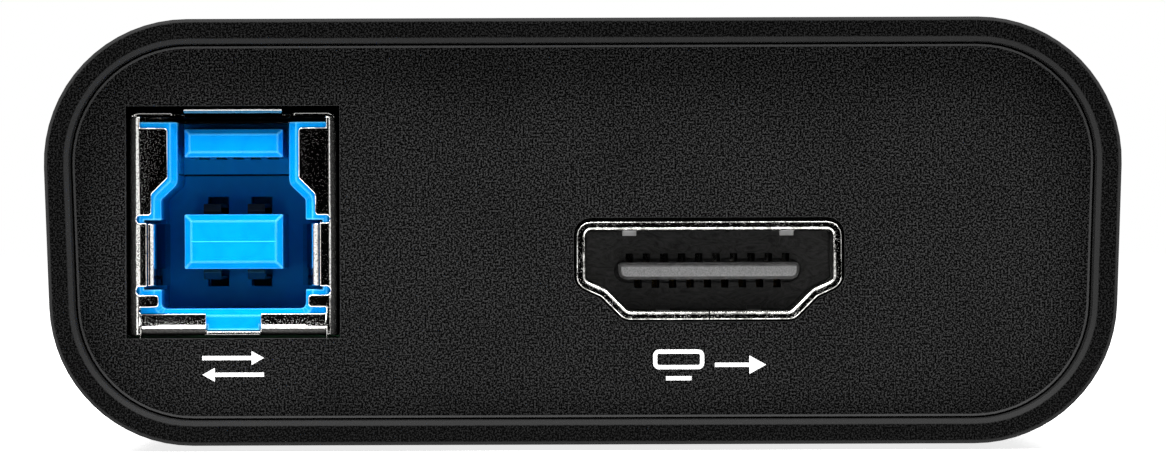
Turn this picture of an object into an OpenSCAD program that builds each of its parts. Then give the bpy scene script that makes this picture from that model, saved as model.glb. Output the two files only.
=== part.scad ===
// Video capture box: an extruded sleeve with a recessed panel in each end, around one circuit board.
// Millimetres. X runs across the box, Y along it and Z up. The rear end, with the data port and the
// video output, faces -Y. The origin is under the middle of the box, on the surface that it stands on.

/* [Sleeve] */
// Length from rim to rim
sleeve_length = 99; // [94:1:130]
// Width at half height
sleeve_width = 60.6; // [59:0.2:70]
// Height of the outline
sleeve_height = 24.1; // [23:0.1:30]
// Lean of each side in degrees, wider at the top
side_lean = 2; // [0:0.5:4]
// Corner radius of the outline
corner_radius = 8.1; // [7:0.1:9]
// Thickness of the wall
wall = 2; // [1.8:0.1:2.4]
// Thickness left around each mouth, where a panel drops in
mouth_wall = 1.4; // [1:0.1:1.6]
// Chamfer inside each mouth
mouth_chamfer = 0.3; // [0.1:0.05:0.5]
// Bevel around the outside of each rim
rim_bevel = 0.2; // [0.1:0.05:0.4]

/* [End panels] */
// Depth of each panel's face below the rim
panel_recess = 2.2; // [1:0.1:3.5]
// Thickness of each panel
panel_thickness = 2; // [1.6:0.1:3]
// Clearance around the panels and the light pipe
panel_clearance = 0.1; // [0.05:0.01:0.2]
// Width of the turned-up edge around each panel's face
panel_edge_w = 0.13; // [0.05:0.01:0.3]
// Height of that edge above the panel's face
panel_edge_rise = 0.08; // [0.02:0.01:0.2]
// Length of the screw lugs behind each panel
lug_length = 6; // [5.5:0.1:8]
// Width of the screw lugs
lug_width = 6; // [5:0.1:7]
// Clearance of the lugs from the sleeve's floor and the board
lug_clearance = 0.1; // [0.05:0.05:0.3]

/* [Screws and feet] */
// Thread diameter of the panel screws
screw_d = 2; // [1.6:0.1:2.4]
// Diameter of their countersunk heads
screw_head_d = 3.8; // [3.2:0.1:4.4]
// Depth of their heads
screw_head_h = 1.2; // [0.9:0.1:1.4]
// Outer diameter of the threaded inserts in the lugs
insert_d = 3.4; // [3.1:0.1:4]
// Distance of the screws from the middle of the box
screw_x = 18.5; // [18:0.1:19]
// Running clearance of the screws and inserts
screw_clearance = 0.03; // [0.02:0.01:0.1]
// Diameter of the rubber feet
foot_d = 8; // [6:0.5:10]
// Thickness of the feet
foot_thickness = 1; // [0.8:0.1:1.4]
// Height that the feet stand proud of the sleeve
foot_proud = 0.35; // [0.2:0.05:0.5]
// Distance of the feet from the middle of the box
foot_x = 16; // [12:0.5:17]
// Distance of the feet from the rims
foot_inset = 19.5; // [17:0.5:26]

/* [Circuit board] */
// Height of its upper face above the underside of the sleeve
board_top = 6.2; // [5.8:0.1:7]
// Thickness of the board
board_thickness = 1.6; // [1.2:0.1:1.6]
// Clearance at its ends, its sides and over its edges
board_clearance = 0.2; // [0.1:0.05:0.3]
// Reach of the guide ribs over its edges
guide_grip = 0.8; // [0.5:0.1:1.2]
// Thickness of the guide ribs
guide_rib = 1; // [0.8:0.1:1.2]
// Length of the soldered tails below the board
tail_length = 0.9; // [0.5:0.1:1]

/* [Data port] */
// Distance between its can and the guide ribs on the left
data_side_gap = 0.3; // [0.2:0.05:1]
// Width across the metal can
data_w = 11.8; // [11.2:0.1:12.6]
// Height of the can above the board
data_h = 12.65; // [12:0.05:13.2]
// Depth of the can
data_depth = 16; // [15.5:0.1:18]
// Distance of its front behind the panel's face
data_setback = 0.5; // [0.2:0.1:1]
// Clearance around the can in the panel's cutout
data_cutout_gap = 0.17; // [0.1:0.01:0.3]
// Depth of the cavity for the plug
data_cavity_depth = 10.5; // [9.5:0.1:11]
// Width of the main tongue
data_tongue_w = 5.6; // [5:0.1:6]
// Height of the main tongue
data_tongue_h = 3.1; // [2.8:0.1:3.3]

/* [Video ports] */
// Offset of the output from the middle of the box
video_out_x = 7.15; // [6:0.05:9]
// Offset of the input from the middle of the box
video_in_x = 0; // [-3:0.5:3]
// Width of the opening
video_w = 14; // [13.6:0.1:14.6]
// Height of the opening
video_h = 4.55; // [4.3:0.05:4.8]
// Height of the opening's floor above the board
video_floor = 1.32; // [1.2:0.02:1.6]
// Depth of the metal can
video_depth = 11.5; // [11:0.1:13]
// Reach of the flared lip beyond the opening
video_flare = 0.52; // [0.4:0.02:0.6]
// Length of the taper behind the lip
video_lip = 0.6; // [0.4:0.05:0.9]
// Height of the lip above the panel's face
video_proud = 0.1; // [0:0.05:0.4]
// Width of the contact tongue
video_tongue_w = 10.3; // [9.8:0.1:10.6]
// Thickness of the contact tongue
video_tongue_h = 0.96; // [0.8:0.02:1.1]

/* [Socket sheet metal] */
// Thickness of the cans
sheet = 0.24; // [0.2:0.02:0.32]
// Thickness of the spring leaves
leaf_t = 0.2; // [0.12:0.02:0.22]
// Running clearance around the spring leaves
leaf_clearance = 0.06; // [0.04:0.01:0.08]
// Reach of the relaxed leaves into the plug's space
leaf_reach = 0.3; // [0.2:0.02:0.35]

/* [Status light] */
// Diameter of the light pipe
pipe_d = 2.2; // [1.8:0.1:2.6]
// Offset of the light pipe from the middle of the box
pipe_x = 14; // [12.5:0.5:16]

/* [Electronics] */
// Width of the video processor
processor_w = 17; // [14:0.5:18]
// Height of the video processor
processor_h = 1.4; // [1:0.1:2]
// Thickness of the pad between the processor and its heat sink
pad_t = 0.5; // [0.3:0.1:1]
// Width of the heat sink
sink_w = 20; // [16:0.5:22]
// Height of the heat sink
sink_h = 7; // [5:0.5:9]
// Number of fins on the heat sink
fin_count = 8; // [5:1:10]
// Thickness of the fins
fin_t = 0.9; // [0.6:0.1:1.2]
// Diameter of the capacitor cans
capacitor_d = 6.3; // [5:0.1:7]
// Height of the capacitor cans
capacitor_h = 5.4; // [4:0.1:8]

/* [Hidden] */
$fn = 48;
over = 0.5;

// Places along the depth, measured inward from a rim
seat_depth = panel_recess + panel_thickness;
seat_y = sleeve_length / 2 - seat_depth;
board_end_y = seat_y - board_clearance;
lug_end = seat_depth + lug_length;
screw_depth = seat_depth + lug_length / 2;
foot_y = sleeve_length / 2 - foot_inset;
data_front = panel_recess + data_setback;
video_front = panel_recess - video_proud;

// Heights, measured from the underside of the sleeve
board_bottom = board_top - board_thickness;
lug_bottom = wall + lug_clearance;
lug_top = board_bottom - lug_clearance;
lug_root = 0.4;
foot_side_gap = 0.1;

// Outline of the sleeve in X and Z
outline_steps = 16;
half_height = sleeve_height / 2;
lean_run = half_height * tan(side_lean);
sleeve_corners = [
    [sleeve_width / 2 - lean_run, 0],
    [sleeve_width / 2 + lean_run, sleeve_height],
    [-sleeve_width / 2 - lean_run, sleeve_height],
    [-sleeve_width / 2 + lean_run, 0]
];
sleeve_radii = [for (corner = sleeve_corners) corner_radius];
corner_x = sleeve_width / 2
    - ((half_height - corner_radius) * sin(side_lean) + corner_radius) / cos(side_lean);
inner_x = corner_x + sqrt(pow(corner_radius - wall, 2) - pow(corner_radius - board_bottom, 2));
board_x = inner_x - board_clearance;

// Data port, with its own origin at its front, in the middle, on the board
data_x = -(board_x - guide_grip - data_side_gap - data_w / 2);
bend_r = 0.65;
bend_inner_r = bend_r - sheet;
bend_step = 15;
flap_r = 0.22;
flap_top_gap = 0.85;
flap_chamfer_start = 3.72;
flap_top = data_h - flap_top_gap;
flap_chamfer_top = data_h - flap_chamfer_start;
flap_chamfer_drop = 0.93;
flap_reach = 2.2;
flap_low_reach = 1.27;
flap_bottom = 6.8;
leaf_top = 6.4;
leaf_bottom = 2.76;
small_flap_top = 2.31;
small_flap_bottom = 1.58;
small_flap_reach = 1.67;
slit_end = 0.62;
low_flap_top = 1.25;
low_flap_inner = 1.54;
low_flap_margin = 0.6;
top_slit_inner = 2.8;
top_slit_w = 0.65;
top_slit_depth = 2.2;
top_tab_rise = 0.2;
can_corner_r = 0.6;
can_foot_r = 0.15;
data_leg_w = 2;
data_leg_y = 5;
leg_clearance = 0.15;
skin_gap = 0.05;
can_radii = [can_foot_r, can_corner_r, can_corner_r, can_foot_r];
cavity_upper_margin = 2.73;
cavity_lower_margin = 1.8;
cavity_upper_x = data_w / 2 - cavity_upper_margin;
cavity_lower_x = data_w / 2 - cavity_lower_margin;
insulator_top_gap = 0.28;
insulator_top = data_h - sheet - insulator_top_gap;
cavity_bottom = 1.52;
cavity_step_start = 4.06;
cavity_step_top = data_h - cavity_step_start;
cavity_step_drop = 0.89;
cavity_lead = 0.4;
cavity_foot_r = 0.3;
cavity_r = 0.2;
cavity_step_r = 0.6;
data_cavity_corners = [
    [cavity_lower_x, cavity_bottom],
    [cavity_lower_x, cavity_step_top - cavity_step_drop],
    [cavity_upper_x, cavity_step_top],
    [cavity_upper_x, data_h],
    [-cavity_upper_x, data_h],
    [-cavity_upper_x, cavity_step_top],
    [-cavity_lower_x, cavity_step_top - cavity_step_drop],
    [-cavity_lower_x, cavity_bottom]
];
data_cavity_radii = [cavity_foot_r, cavity_r, cavity_step_r, cavity_r, cavity_r, cavity_step_r, cavity_r,
    cavity_foot_r];
data_tongue_bottom = 3.77;
data_tongue_top = data_tongue_bottom + data_tongue_h;
data_tongue_tip = 0.7;
data_tongue_bevel = 0.38;
fast_tongue_w = 5.6;
fast_tongue_drop = 0.93;
fast_tongue_top = data_h - fast_tongue_drop;
fast_tongue_h = 1.6;
fast_tongue_bottom = fast_tongue_top - fast_tongue_h;
fast_tongue_tip = 1;
fast_tongue_bevel = 0.28;
fast_block_depth = 1.6;
fast_block_drop = 3.45;
fast_block_bottom = data_h - fast_block_drop;
data_contact_x = 1.25;
data_contact_w = 1;
data_contact_t = 0.2;
data_contact_start = 1.9;
data_contact_bow = 0.4;
data_contact_ramp = 0.35;
data_slot_w = 1.17;
data_slot_h = 1.02;
data_row_pitch = 2;
fast_drop_gap = 1;
fast_drop = data_depth - fast_drop_gap;
data_upper_drop = data_depth - data_row_pitch;
data_lower_drop = data_upper_drop - data_row_pitch;
fast_pitch = 1;
fast_contact_w = 0.5;
fast_contact_t = 0.15;
fast_slot_w = 0.6;
tail_w = 0.5;
tail_hole_d = 0.75;
drop_gap = 0.1;
data_leaf_margin = 1.48;
data_leaf_bend_r = 0.42;
data_leaf_face_x = data_w / 2 - data_leaf_margin;
data_leaf_root_x = data_leaf_face_x + data_leaf_bend_r;
data_leaf_apex_y = 5.2;
data_leaf_tip_y = 6.6;
data_leaf_pocket_depth = 7.4;
data_leaf_pocket_margin = 0.23;
data_leaf_pocket_x = data_leaf_root_x + data_leaf_pocket_margin;
data_leaf_pocket_gap = 0.15;

// Video ports, each with its own origin at its front, in the middle, on the board
video_steps = 4;
video_top = video_floor + video_h;
video_floor_margin = 2.4;
video_waist_margin = 1.18;
video_waist_rise = 1.23;
video_side_rise = 1.77;
video_floor_x = video_w / 2 - video_floor_margin;
video_waist_x = video_w / 2 - video_waist_margin;
video_corners = [
    [video_floor_x, video_floor],
    [video_waist_x, video_floor + video_waist_rise],
    [video_w / 2, video_floor + video_side_rise],
    [video_w / 2, video_top],
    [-video_w / 2, video_top],
    [-video_w / 2, video_floor + video_side_rise],
    [-video_waist_x, video_floor + video_waist_rise],
    [-video_floor_x, video_floor]
];
video_r = 0.3;
video_floor_r = 0.35;
video_waist_r = 0.95;
video_radii = [video_floor_r, video_waist_r, video_r, video_r, video_r, video_r, video_waist_r,
    video_floor_r];
video_throat_r = 0.22;
video_rim_r = 0.08;
video_cutout_gap = 0.16;
video_seam = 0.08;
video_cutout_lift = 0.06;
video_wall_y = 7.2;
video_skin_gap = 0.03;
video_block_length = 1.5;
video_block_margin = 1.2;
video_block_drop = 0.6;
video_back = video_depth + video_block_length;
video_block_x = video_w / 2 - video_block_margin;
video_block_top = video_top - video_block_drop;
video_pad_margin = 0.7;
video_pad_x = video_floor_x - video_pad_margin;
video_tongue_rise = 2.25;
video_tongue_z = video_floor + video_tongue_rise;
video_tongue_tip = 1.3;
video_tongue_bevel = 0.17;
video_tongue_foot_r = 0.45;
video_tongue_r = 0.2;
video_tongue_radii = [video_tongue_foot_r, video_tongue_r, video_tongue_r, video_tongue_foot_r];
video_ring = 0.4;
video_ring_depth = 0.5;
video_pitch = 1;
video_upper_count = 10;
video_lower_count = 9;
video_contact_w = 0.28;
video_contact_t = 0.15;
video_contact_start = 2.1;
video_slot_w = 0.42;
video_slot_h = 0.5;
video_drop_y = video_back + skin_gap;
video_foot_length = 1;
video_leg_w = 1.2;
video_leg_ys = [3.6, 8.6];
video_leg_rise = 2.8;
video_leg_top = video_floor + video_leg_rise;
video_root_r = 0.7 * leaf_t;
video_leaf_y = 1.6;
video_leaf_bump_y = 4.75;
video_leaf_ramp = 0.25;
video_leaf_land = 0.45;
video_leaf_tip_y = 6.5;
video_leaf_w = 0.8;
video_top_leaf_x = 4.5;
video_bottom_leaf_x = 2.6;
video_window_end = 6.9;

// Status light, from the front rim
light_w = 3;
light_l = 2;
light_h = 2.8;
light_gap = 1.2;
light_y = seat_depth + light_gap;
pipe_rise = 1.8;
pipe_z = board_top + pipe_rise;
pipe_flange_w = 0.5;
pipe_flange_d = pipe_d + 2 * pipe_flange_w;
pipe_flange_t = 0.8;

// Distances from the edges of the board
function from_left(distance) = distance - board_x;
function from_right(distance) = board_x - distance;
function from_rear(distance) = distance - board_end_y;
function from_front(distance) = board_end_y - distance;

// Sizes of the electronic parts, and their places on the board as X and Y
processor_rim = 1.25;
processor_base_h = 0.56;
processor_lid_w = processor_w - 2 * processor_rim;
sink_base = 1.5;
memory_size = [9, 13, 1.2];
memory_inset = 9.4;
memory_y = 6.9;
memory_places = [[from_right(memory_inset), memory_y], [from_right(memory_inset), -memory_y]];
left_inset = 8;
left_x = from_left(left_inset);
bridge_size = [9, 9, 0.9];
bridge_inset = 22.5;
bridge_place = [left_x, from_rear(bridge_inset)];
receiver_size = [14, 14, 1.4];
receiver_inset = 20.6;
receiver_place = [video_in_x, from_front(receiver_inset)];
receiver_leads = 12;
driver_size = [7, 7, 0.9];
driver_inset = 21;
driver_place = [video_out_x, from_rear(driver_inset)];
firmware_size = [5, 4, 1.6];
firmware_inset = 37;
firmware_place = [left_x, from_rear(firmware_inset)];
firmware_leads = 4;
lead_pitch = 1;
lead_w = 0.4;
lead_reach = 1;
lead_t = 0.18;
crystal_size = [11.2, 4.7, 3.5];
crystal_rear_inset = 30.5;
crystal_front_inset = 22;
crystal_side_inset = 12.8;
crystal_places = [
    [left_x, from_rear(crystal_rear_inset)],
    [from_right(crystal_side_inset), from_front(crystal_front_inset)]
];
crystal_turns = [0, 90];
crystal_base = 0.5;
capacitor_base_h = 0.8;
capacitor_base_margin = 0.3;
capacitor_base_half = capacitor_d / 2 + capacitor_base_margin;
capacitor_groove = 0.25;
capacitor_groove_z = 1.2;
part_gap = 0.3;
edge_row = guide_grip + part_gap + capacitor_base_half;
second_row = edge_row + 2 * capacitor_base_half + part_gap / 2;
supply_inset = 10.4;
supply_pitch = 8.8;
supply_ys = [for (i = [0 : 2]) from_front(supply_inset + i * supply_pitch)];
right_inset = 6.4;
right_x = from_right(right_inset);
right_capacitor_inset = 14;
capacitor_places = [
    [from_left(edge_row), supply_ys[2]],
    [from_left(second_row), supply_ys[2]],
    [from_left(edge_row), supply_ys[0]],
    [right_x, from_front(right_capacitor_inset)]
];
inductor_w = 6;
inductor_h = 3;
inductor_corner = 1.2;
inductor_places = [
    [from_left(edge_row), supply_ys[1]],
    [from_left(second_row), supply_ys[1]],
    [from_left(second_row), supply_ys[0]]
];
regulator_size = [6.5, 3.5, 1.7];
regulator_side_inset = 8.8;
regulator_rear_inset = 18.6;
regulator_front_inset = 23.6;
regulator_places = [
    [from_right(regulator_side_inset), from_rear(regulator_rear_inset)],
    [right_x, from_front(regulator_front_inset)]
];
regulator_tab = 1.8;
component_size = [1.6, 0.8, 0.7];
component_cap = 0.35;
component_lift = 0.04;
component_pitch = 2.4;
component_run = 2.5 * component_pitch;
component_rear_y = -13.5;
component_front_y = 10.6;
component_left_inset = 2.9;
component_left_y = from_rear(16.6);
component_right_inset = 10.9;
component_right_y = from_rear(14.1);
component_light_inset = 16.9;
component_light_y = from_front(5.1);
component_rows = [
    [-component_run, component_rear_y, 6],
    [-component_run, component_front_y, 6],
    [from_left(component_left_inset), component_left_y, 6],
    [from_right(component_light_inset), component_light_y, 3],
    [from_right(component_right_inset), component_right_y, 4]
];

// Rounded outlines and lofts

function unit(v) = v / norm(v);
function outward(p, q) = let (e = unit(q - p)) [e[1], -e[0]];
function turn(p, v, q) = let (a = unit(v - p), b = unit(q - v)) atan2(a[0] * b[1] - a[1] * b[0], a * b);

// Points of a counter-clockwise outline with rounded corners, grown outward by grow
function rounded(corners, radii, grow, steps) = [
    for (i = [0 : len(corners) - 1])
        let (
            before = corners[(i + len(corners) - 1) % len(corners)],
            here = corners[i],
            after = corners[(i + 1) % len(corners)],
            n1 = outward(before, here),
            n2 = outward(here, after),
            bend = turn(before, here, after),
            side = bend > 0 ? 1 : -1,
            centre = here - side * radii[i] * (n1 + n2) / (1 + n1 * n2),
            start = atan2(n1[1], n1[0])
        )
        for (k = [0 : steps])
            let (a = start + bend * k / steps)
            centre + side * (radii[i] + side * grow) * [cos(a), sin(a)]
];

function rectangle(x, bottom, top) = [[x, bottom], [x, top], [-x, top], [-x, bottom]];
function station_points(corners, radii, steps, stations) = [
    for (s = stations)
        for (p = rounded(corners, radii, s[1], steps))
            [p[0], s[0], p[1]]
];
function band(first, second, count) = [
    for (i = [0 : count - 1])
        let (j = (i + 1) % count)
        each [[first + i, first + j, second + j], [first + i, second + j, second + i]]
];

// A closed tube wall through stations of [depth, growth], outside first and inside back again
module tube_loft(corners, radii, steps, stations) {
    count = len(corners) * (steps + 1);
    last = len(stations);
    polyhedron(
        station_points(corners, radii, steps, stations),
        [for (s = [0 : last - 1]) each band(s * count, (s + 1) % last * count, count)]
    );
}

// A solid through stations of [depth, growth], with its ends fanned out from the point hub
module solid_loft(corners, radii, steps, stations, hub) {
    count = len(corners) * (steps + 1);
    last = len(stations) - 1;
    ring = station_points(corners, radii, steps, stations);
    near = len(ring);
    far = near + 1;
    polyhedron(
        concat(ring, [[hub[0], stations[0][0], hub[1]], [hub[0], stations[last][0], hub[1]]]),
        concat(
            [for (s = [0 : last - 1]) each band(s * count, (s + 1) * count, count)],
            [for (i = [0 : count - 1]) [near, (i + 1) % count, i]],
            [for (i = [0 : count - 1]) [far, last * count + i, last * count + (i + 1) % count]]
        )
    );
}

// An X and Z outline drawn out along Y
module along_y(start, end) {
    translate([0, end, 0]) rotate([90, 0, 0]) linear_extrude(end - start) children();
}

// A Y and Z outline drawn out along X, about the middle
module along_x(width) {
    rotate([90, 0, 90]) translate([0, 0, -width / 2]) linear_extrude(width) children();
}

// A block from its low corner to its high one
module block(low, high) {
    translate(low) cube(high - low);
}

// A block about a point, standing on its base
module standing(size) {
    translate([-size[0] / 2, -size[1] / 2, 0]) cube(size);
}

module mirrored() {
    children();
    mirror([1, 0, 0]) children();
}

// Frames of reference

module at_rear() {
    translate([0, -sleeve_length / 2, foot_proud]) children();
}

module at_front() {
    translate([0, sleeve_length / 2, foot_proud]) rotate(180) children();
}

module at_data_port() {
    at_rear() translate([data_x, data_front, board_top]) children();
}

module at_video_out() {
    at_rear() translate([video_out_x, video_front, board_top]) children();
}

module at_video_in() {
    at_front() translate([-video_in_x, video_front, board_top]) children();
}

module on_board(place) {
    translate([place[0], place[1], foot_proud + board_top]) children();
}

module at_screws() {
    at_rear() mirrored() translate([screw_x, screw_depth, 0]) children();
    at_front() mirrored() translate([screw_x, screw_depth, 0]) children();
}

module at_feet() {
    for (x = [-foot_x, foot_x], y = [-foot_y, foot_y]) translate([x, y, 0]) children();
}

// Casing

module sleeve_wall() {
    end = sleeve_length / 2;
    tube_loft(sleeve_corners, sleeve_radii, outline_steps, [
        [-end, -rim_bevel],
        [-end + rim_bevel, 0],
        [end - rim_bevel, 0],
        [end, -rim_bevel],
        [end, mouth_chamfer - mouth_wall],
        [end - mouth_chamfer, -mouth_wall],
        [seat_y, -mouth_wall],
        [seat_y, -wall],
        [-seat_y, -wall],
        [-seat_y, -mouth_wall],
        [-end + mouth_chamfer, -mouth_wall],
        [-end, mouth_chamfer - mouth_wall]
    ]);
}

module guide_ribs() {
    along_y(-seat_y, seat_y) intersection() {
        polygon(rounded(sleeve_corners, sleeve_radii, -wall / 2, outline_steps));
        mirrored() translate([board_x - guide_grip, 0]) {
            translate([0, board_bottom - guide_rib]) square([sleeve_width, guide_rib]);
            translate([0, board_top + board_clearance]) square([sleeve_width, guide_rib]);
        }
    }
}

module sleeve() {
    color("dimgray") difference() {
        translate([0, 0, foot_proud]) union() {
            sleeve_wall();
            guide_ribs();
        }
        at_screws() {
            translate([0, 0, -over]) cylinder(d = screw_d + 2 * foot_side_gap, h = wall + 2 * over);
            countersink(screw_clearance);
        }
        at_feet() cylinder(d = foot_d + 2 * foot_side_gap, h = foot_thickness);
    }
}

// The cone of a screw head, with its wide end on the underside of the sleeve
module countersink(gap) {
    cylinder(d1 = screw_head_d + 2 * gap, d2 = screw_d + 2 * gap, h = screw_head_h);
}

module panel_plate() {
    edge = -mouth_wall - panel_clearance;
    solid_loft(sleeve_corners, sleeve_radii, outline_steps, [
        [panel_recess, edge - panel_edge_w],
        [panel_recess - panel_edge_rise, edge],
        [seat_depth, edge]
    ], [0, half_height]);
}

module panel_lugs() {
    mirrored() block(
        [screw_x - lug_width / 2, seat_depth - lug_root, lug_bottom],
        [screw_x + lug_width / 2, lug_end, lug_top]
    );
}

module lug_holes() {
    mirrored() translate([screw_x, screw_depth, lug_bottom - over])
        cylinder(d = insert_d + 2 * screw_clearance, h = lug_top - lug_bottom + 2 * over);
}

module video_cutout(x) {
    translate([x, 0, board_top + video_cutout_lift]) along_y(panel_recess - over, seat_depth + over)
        polygon(rounded(video_corners, video_radii, video_flare + video_cutout_gap, video_steps));
}

module rear_panel() {
    color([0.09, 0.09, 0.1]) at_rear() difference() {
        union() {
            panel_plate();
            panel_lugs();
        }
        lug_holes();
        block(
            [data_x - data_w / 2 - data_cutout_gap, panel_recess - over, board_top - data_cutout_gap],
            [data_x + data_w / 2 + data_cutout_gap, seat_depth + over,
                board_top + data_h + top_tab_rise + data_cutout_gap]
        );
        video_cutout(video_out_x);
    }
}

module front_panel() {
    color([0.09, 0.09, 0.1]) at_front() difference() {
        union() {
            panel_plate();
            panel_lugs();
        }
        lug_holes();
        video_cutout(-video_in_x);
        translate([pipe_x, panel_recess - over, pipe_z]) rotate([-90, 0, 0])
            cylinder(d = pipe_d + 2 * panel_clearance, h = panel_thickness + 2 * over);
    }
}

module panel_screws() {
    color("dimgray") at_screws() difference() {
        union() {
            countersink(0);
            cylinder(d = screw_d, h = lug_top - lug_clearance);
        }
        for (a = [0, 90]) rotate(a) translate([-screw_d / 2, -screw_d / 8, -over])
            cube([screw_d, screw_d / 4, over + screw_head_h / 2]);
    }
}

module threaded_inserts() {
    color("goldenrod") at_screws() translate([0, 0, lug_bottom]) difference() {
        cylinder(d = insert_d, h = lug_top - lug_bottom);
        translate([0, 0, -over])
            cylinder(d = screw_d + 2 * screw_clearance, h = lug_top - lug_bottom + 2 * over);
    }
}

module rubber_feet() {
    edge = foot_proud / 2;
    color([0.05, 0.05, 0.05]) at_feet() rotate_extrude() polygon([
        [0, 0],
        [foot_d / 2 - edge, 0],
        [foot_d / 2, edge],
        [foot_d / 2, foot_thickness],
        [0, foot_thickness]
    ]);
}

// Circuit board

module board_tail_holes() {
    depth = board_thickness + 2 * over;
    at_data_port() translate([0, 0, -board_thickness - over]) {
        for (x = [-data_contact_x, data_contact_x], y = [data_upper_drop, data_lower_drop])
            translate([x, y + data_contact_t / 2, 0]) cylinder(d = tail_hole_d, h = depth);
        for (i = [-2 : 2])
            translate([i * fast_pitch, fast_drop + fast_contact_t / 2, 0])
                cylinder(d = tail_hole_d, h = depth);
    }
}

module board_leg_holes() {
    at_data_port() mirrored() block(
        [data_w / 2 - sheet - leg_clearance, data_leg_y - leg_clearance, -board_thickness - over],
        [data_w / 2 + leg_clearance, data_leg_y + data_leg_w + leg_clearance, over]
    );
    at_video_out() video_leg_holes();
    at_video_in() video_leg_holes();
}

module video_leg_holes() {
    for (y = video_leg_ys) mirrored() block(
        [video_w / 2 - leg_clearance, y - leg_clearance, -board_thickness - over],
        [video_w / 2 + sheet + leg_clearance, y + video_leg_w + leg_clearance, over]
    );
}

module main_board() {
    color("darkgreen") difference() {
        translate([0, 0, foot_proud]) block(
            [-board_x, -board_end_y, board_bottom],
            [board_x, board_end_y, board_top]
        );
        board_tail_holes();
        board_leg_holes();
    }
}

// Data port

// Side wall of the can with its front bent round, as far in as reach, drawn up from bottom to top
module can_side(reach, bottom, top) {
    outer = data_w / 2;
    translate([0, 0, bottom]) linear_extrude(top - bottom) polygon(rounded(
        [
            [outer, 0],
            [outer, data_depth],
            [outer - sheet, data_depth],
            [outer - sheet, sheet],
            [outer - reach, sheet],
            [outer - reach, 0]
        ],
        [bend_r, 0, 0, bend_inner_r, 0, 0], 0, 6
    ));
}

// Front outlines of the three flaps on one side of the can
module side_flap_outlines() {
    outer = data_w / 2;
    polygon(rounded(
        [
            [outer, flap_bottom],
            [outer, flap_top],
            [outer - flap_reach, flap_top],
            [outer - flap_reach, flap_chamfer_top],
            [outer - flap_low_reach, flap_chamfer_top - flap_chamfer_drop],
            [outer - flap_low_reach, flap_bottom]
        ],
        [0, 0, flap_r, flap_r, flap_r, flap_r], 0, 4
    ));
    polygon(rounded(
        [
            [outer, small_flap_bottom],
            [outer, small_flap_top],
            [outer - small_flap_reach, small_flap_top],
            [outer - small_flap_reach, small_flap_bottom]
        ],
        [0, 0, flap_r, flap_r], 0, 4
    ));
    translate([data_leaf_root_x + leaf_clearance, leaf_bottom])
        square([outer - data_leaf_root_x - leaf_clearance, leaf_top - leaf_bottom]);
    difference() {
        translate([outer - slit_end, 0]) square([slit_end, data_h]);
        slit_round_end(leaf_top, flap_bottom);
        slit_round_end(small_flap_top, leaf_bottom);
    }
}

module slit_round_end(bottom, top) {
    translate([data_w / 2 - slit_end, (bottom + top) / 2]) circle(d = top - bottom);
}

module can_flap_trim() {
    along_y(-over, bend_r) difference() {
        translate([0, -over]) square([data_w / 2, data_h + 2 * over]);
        side_flap_outlines();
    }
}

// Floor of the can, with its front bent up between two places
module can_low_flap() {
    start = low_flap_inner;
    end = data_w / 2 - low_flap_margin;
    translate([(start + end) / 2, 0, 0]) along_x(end - start) polygon(rounded(
        [
            [0, 0],
            [data_depth, 0],
            [data_depth, sheet],
            [sheet, sheet],
            [sheet, low_flap_top],
            [0, low_flap_top]
        ],
        [bend_r, 0, 0, bend_inner_r, 0, 0], 0, 6
    ));
}

// Roof of the can, open between its two front corners, where the flared tab goes
module can_roof() {
    low = data_h - sheet;
    block([-data_w / 2, top_slit_depth, low], [data_w / 2, data_depth, data_h]);
    mirrored() block([top_slit_inner + top_slit_w, 0, low], [data_w / 2, top_slit_depth, data_h]);
}

// Tab in the middle of the roof, flared up towards the front
module can_top_tab() {
    along_x(2 * top_slit_inner) polygon([
        [0, data_h - sheet + top_tab_rise],
        [top_slit_depth, data_h - sheet],
        [top_slit_depth + over, data_h - sheet],
        [top_slit_depth + over, data_h],
        [top_slit_depth, data_h],
        [0, data_h + top_tab_rise]
    ]);
}

module can_walls() {
    mirrored() difference() {
        can_side(flap_reach, 0, data_h);
        can_flap_trim();
    }
    mirrored() can_low_flap();
    block([-data_w / 2, bend_r, 0], [data_w / 2, data_depth, sheet]);
    block([-low_flap_inner, 0, 0], [low_flap_inner, bend_r, sheet]);
    can_roof();
    block([-data_w / 2, data_depth - sheet, 0], [data_w / 2, data_depth, data_h]);
}

module data_port_can() {
    color("silver") at_data_port() difference() {
        union() {
            intersection() {
                can_walls();
                along_y(-over, data_depth + over)
                    polygon(rounded(rectangle(data_w / 2, 0, data_h), can_radii, 0, 6));
            }
            can_top_tab();
            mirrored() block(
                [data_w / 2 - sheet, data_leg_y, -board_thickness - tail_length],
                [data_w / 2, data_leg_y + data_leg_w, sheet]
            );
        }
        data_tail_slots();
    }
}

// Openings in the floor of the can for the contact tails
module data_tail_slots() {
    block(
        [-2 * fast_pitch - tail_hole_d, data_lower_drop - tail_hole_d / 2, -over],
        [2 * fast_pitch + tail_hole_d, fast_drop + tail_hole_d / 2, sheet + over]
    );
}

module data_cavity() {
    front = sheet + skin_gap;
    along_y(front, data_cavity_depth)
        polygon(rounded(data_cavity_corners, data_cavity_radii, 0, 4));
    solid_loft(data_cavity_corners, data_cavity_radii, 4, [
        [front - skin_gap, cavity_lead + skin_gap],
        [front + cavity_lead, 0]
    ], [0, (cavity_bottom + cavity_step_top) / 2]);
}

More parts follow.
